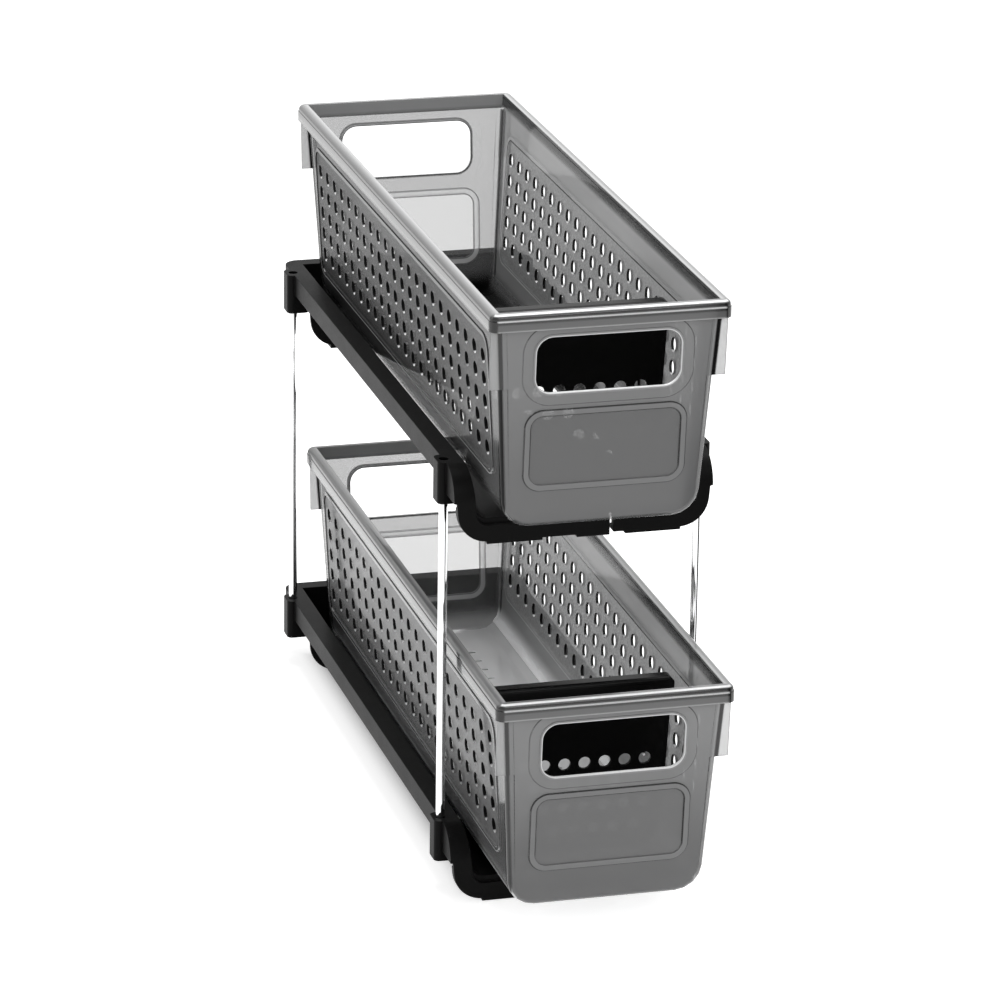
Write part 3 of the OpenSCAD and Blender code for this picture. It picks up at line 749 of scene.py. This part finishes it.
def settle(piece, body, node, slot, *materials):
    for material in materials:
        piece.data.materials.append(material)
    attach(piece, body)
    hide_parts(node)


# The baskets

basketEdge = {
    "radius": 0.18 * mm,
}


def inField(place, span):
    # Inside the raised border of a side wall, where the holes are
    size = basketWall
    band, depth = size["borderBand"], span.z - place.z
    return (size["borderTop"] + band < depth < size["borderBottom"] - band
            and size["borderFront"] + band < place.y < size["borderBack"] - band
            and abs(place.x) > size["bellyX"])


def surfaceOf(place, normal, span):
    # Which of the basket's surfaces a face belongs to, by its middle in the basket's own frame
    size = basketWall
    depth = span.z - place.z
    overSide = abs(place.x) - span.x / 2
    overEnd = abs(place.y - span.y / 2) - span.y / 2
    insideEnd = -overEnd - size["endIn"] - depth * size["endSlope"]
    if inField(place, span) and abs(normal.x) < size["holeTurn"]:
        return "holes"
    inBead = depth < size["rimHeight"] + size["slack"] and max(overSide, overEnd) > -size["rimIn"]
    if depth < size["slack"] or inBead:
        return "rim"
    inBelly = abs(place.x) < size["bellyX"]
    if insideEnd < 2 * size["thickness"] and (abs(normal.y) > abs(normal.x) or inBelly):
        return "end"
    if inBelly or (place.z < size["floorZ"] and abs(normal.z) > size["floorTurn"]):
        return "floor"
    return "side"


def buildBasket(tier, holes):
    node = tiers[tier]
    corner, span = basketFrame(tier)
    piece = softenedCopy(node, node + "_moulding", basketEdge["radius"],
                         lambda place: inField(place - corner, span))
    surfaces = {"side": smokeSide(tier), "end": smokeEnd(tier), "rim": smokeRim(tier),
                "floor": smokeFloor(tier), "holes": holes}
    settle(piece, tier + "_slider", node, "basket", *surfaces.values())
    order = list(surfaces)
    counts = dict.fromkeys(order, 0)
    for face in piece.data.polygons:
        surface = surfaceOf(face.center - corner, face.normal, span)
        face.material_index = order.index(surface)
        counts[surface] += 1
    print("basket", tier, len(piece.data.polygons), "faces:", counts)


# The trays

trayEdge = {
    "radius": 0.35 * mm,
}


def buildTray(tier, material):
    node = tier + "_tray"
    piece = softenedCopy(node, node + "_moulding", trayEdge["radius"])
    settle(piece, "base", node, "tray", material)
    print("tray", tier, len(piece.data.polygons), "faces")


# The dividers

dividerEdge = {
    "radius": 0.25 * mm,
}


def buildDivider(tier, material):
    node = tier + "_divider"
    piece = softenedCopy(node, node + "_plate", dividerEdge["radius"])
    settle(piece, tier + "_partition", node, "divider", material)
    print("divider", tier, len(piece.data.polygons), "faces")


# The poles: drawn rods with chamfered ends

poleShape = {
    "sides": 48,
    "chamfer": 0.5 * mm,
    "segments": 3,
    "ringShare": 0.45,               # width of the ring on each end face, as a share of the radius
    "endTurn": 0.9,                  # an end face looks up or down by more than this
    "sharp": math.radians(60),
    "smooth": math.radians(35),
}


def buildPole(node, material):
    low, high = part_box(node)
    radius = (high.x - low.x) / 2
    middle = (low + high) / 2
    bpy.ops.object.select_all(action="DESELECT")
    bpy.ops.mesh.primitive_cylinder_add(vertices=poleShape["sides"], radius=radius, depth=high.z - low.z,
                                        location=middle)
    piece = bpy.context.object
    piece.name = node + "_rod"
    piece.data.name = piece.name
    bpy.ops.object.transform_apply(location=True, rotation=True, scale=True)
    bpy.ops.object.mode_set(mode="EDIT")
    bpy.ops.mesh.select_all(action="DESELECT")
    bpy.ops.object.mode_set(mode="OBJECT")
    for face in piece.data.polygons:
        face.select = abs(face.normal.z) > poleShape["endTurn"]
    bpy.ops.object.mode_set(mode="EDIT")
    bpy.ops.mesh.select_mode(type="FACE")
    bpy.ops.mesh.inset(thickness=radius * poleShape["ringShare"], depth=0)
    bpy.ops.object.mode_set(mode="OBJECT")
    applyModifier(piece, "BEVEL", "ends", width=poleShape["chamfer"], segments=poleShape["segments"],
                  limit_method="ANGLE", angle_limit=poleShape["sharp"])
    onlySelect(piece)
    bpy.ops.object.shade_smooth_by_angle(angle=poleShape["smooth"])
    settle(piece, "base", node, "pole", material)
    print("pole", node, len(piece.data.polygons), "faces")


# Floor, world and lamps

studio = {
    "floorSize": 40,
    "floorDrop": 0.2 * mm,
    "floorGrey": 0.75,
    "floorRough": 0.9,
    "floorGlow": 0.75,      # added for the camera and reflections, so that the floor clips to white
    "underTray": -30 * mm,  # the glow fades in between these distances outside the lower tray
    "besideTray": -8 * mm,
    "cardPlace": (0.19, -0.38, 0.24),
    "cardTurn": math.radians(45),
    "cardSize": (0.17, 0.48),
    "worldLight": 0.45,
    "lamps": {              # place, width, height and power of each softbox
        "top_softbox": ((0.15, 0.1, 1.75), 0.9, 0.7, 22),
        "left_softbox": ((-1.6, 0.1, 0.9), 0.5, 1.0, 2.2),
        "front_softbox": ((0.3, -1.9, 1.3), 1.0, 0.5, 5),
    },
}


def seenRays(tree):
    # 1 for what the camera, a reflection or a view through something sees, 0 for what lights a surface
    path = tree.nodes.new("ShaderNodeLightPath")
    camera, glossy, transmission = (Sock(tree, path.outputs["Is " + kind + " Ray"])
                                    for kind in ("Camera", "Glossy", "Transmission"))
    return (camera + glossy + transmission).clipped()


def addFloor():
    bpy.ops.object.select_all(action="DESELECT")
    bpy.ops.mesh.primitive_plane_add(size=studio["floorSize"], location=(0, 0, -studio["floorDrop"]))
    floor = bpy.context.object
    floor.name = "studio_floor"
    bpy.ops.object.transform_apply(location=True, rotation=True, scale=True)
    look = Finish("studio_floor")
    low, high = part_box("lower_tray")
    middle, half = (low + high) / 2, (high - low) / 2
    outside = ((look.x - middle.x).size() - half.x).most((look.y - middle.y).size() - half.y)
    glow = look.ramp(outside, studio["underTray"], studio["besideTray"], 0.0, studio["floorGlow"])
    glow = glow * seenRays(look.tree)
    look.use(Base_Color=(studio["floorGrey"],) * 3 + (1,), Roughness=studio["floorRough"],
             Specular_IOR_Level=0.0, Emission_Color=look.grey(glow), Emission_Strength=1.0)
    floor.data.materials.append(look.material)


def addCard():
    # A black card that only reflections see; it draws the dark line down each chrome pole
    bpy.ops.object.select_all(action="DESELECT")
    bpy.ops.mesh.primitive_plane_add(size=1)
    card = bpy.context.object
    card.name = "black_card"
    card.scale = (*studio["cardSize"], 1)
    card.rotation_euler = (math.radians(90), 0, studio["cardTurn"])
    card.location = studio["cardPlace"]
    bpy.ops.object.transform_apply(location=True, rotation=True, scale=True)
    look = Finish("black_card")
    card.data.materials.append(look.use(Base_Color=(0, 0, 0, 1), Roughness=1.0, Specular_IOR_Level=0.0))
    card.visible_camera = card.visible_diffuse = card.visible_shadow = card.visible_transmission = False


def addWorld():
    world = bpy.data.worlds.new("studio")
    bpy.context.scene.world = world
    world.use_nodes = True
    tree = world.node_tree
    background = tree.nodes["Background"]
    strength = studio["worldLight"] + seenRays(tree) * (1 - studio["worldLight"])
    background.inputs["Color"].default_value = (1, 1, 1, 1)
    tree.links.new(strength.link, background.inputs["Strength"])


def addLamp(name, place, width, height, power):
    light = bpy.data.lights.new(name, "AREA")
    light.shape = "RECTANGLE"
    light.size, light.size_y = width, height
    light.energy = power
    lamp = bpy.data.objects.new(name, light)
    bpy.context.scene.collection.objects.link(lamp)
    lamp.location = place
    middle = (cadBox[0] + cadBox[1]) / 2
    lamp.rotation_euler = (middle - Vector(place)).to_track_quat("-Z", "Y").to_euler()


def addStudio():
    addFloor()
    addCard()
    addWorld()
    for name, values in studio["lamps"].items():
        addLamp(name, *values)
    print("studio lit")


addCamera()
addStudio()
trayPlastic = trayBlack()
dividerPlastic = dividerBlack()
chromePlate = poleChrome()
holeWalls = smokeHoles()
for tierName in tiers:
    buildBasket(tierName, holeWalls)
    buildTray(tierName, trayPlastic)
    buildDivider(tierName, dividerPlastic)
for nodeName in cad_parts:
    if nodeName.startswith("pole_"):
        buildPole(nodeName, chromePlate)
bpy.context.view_layer.update()
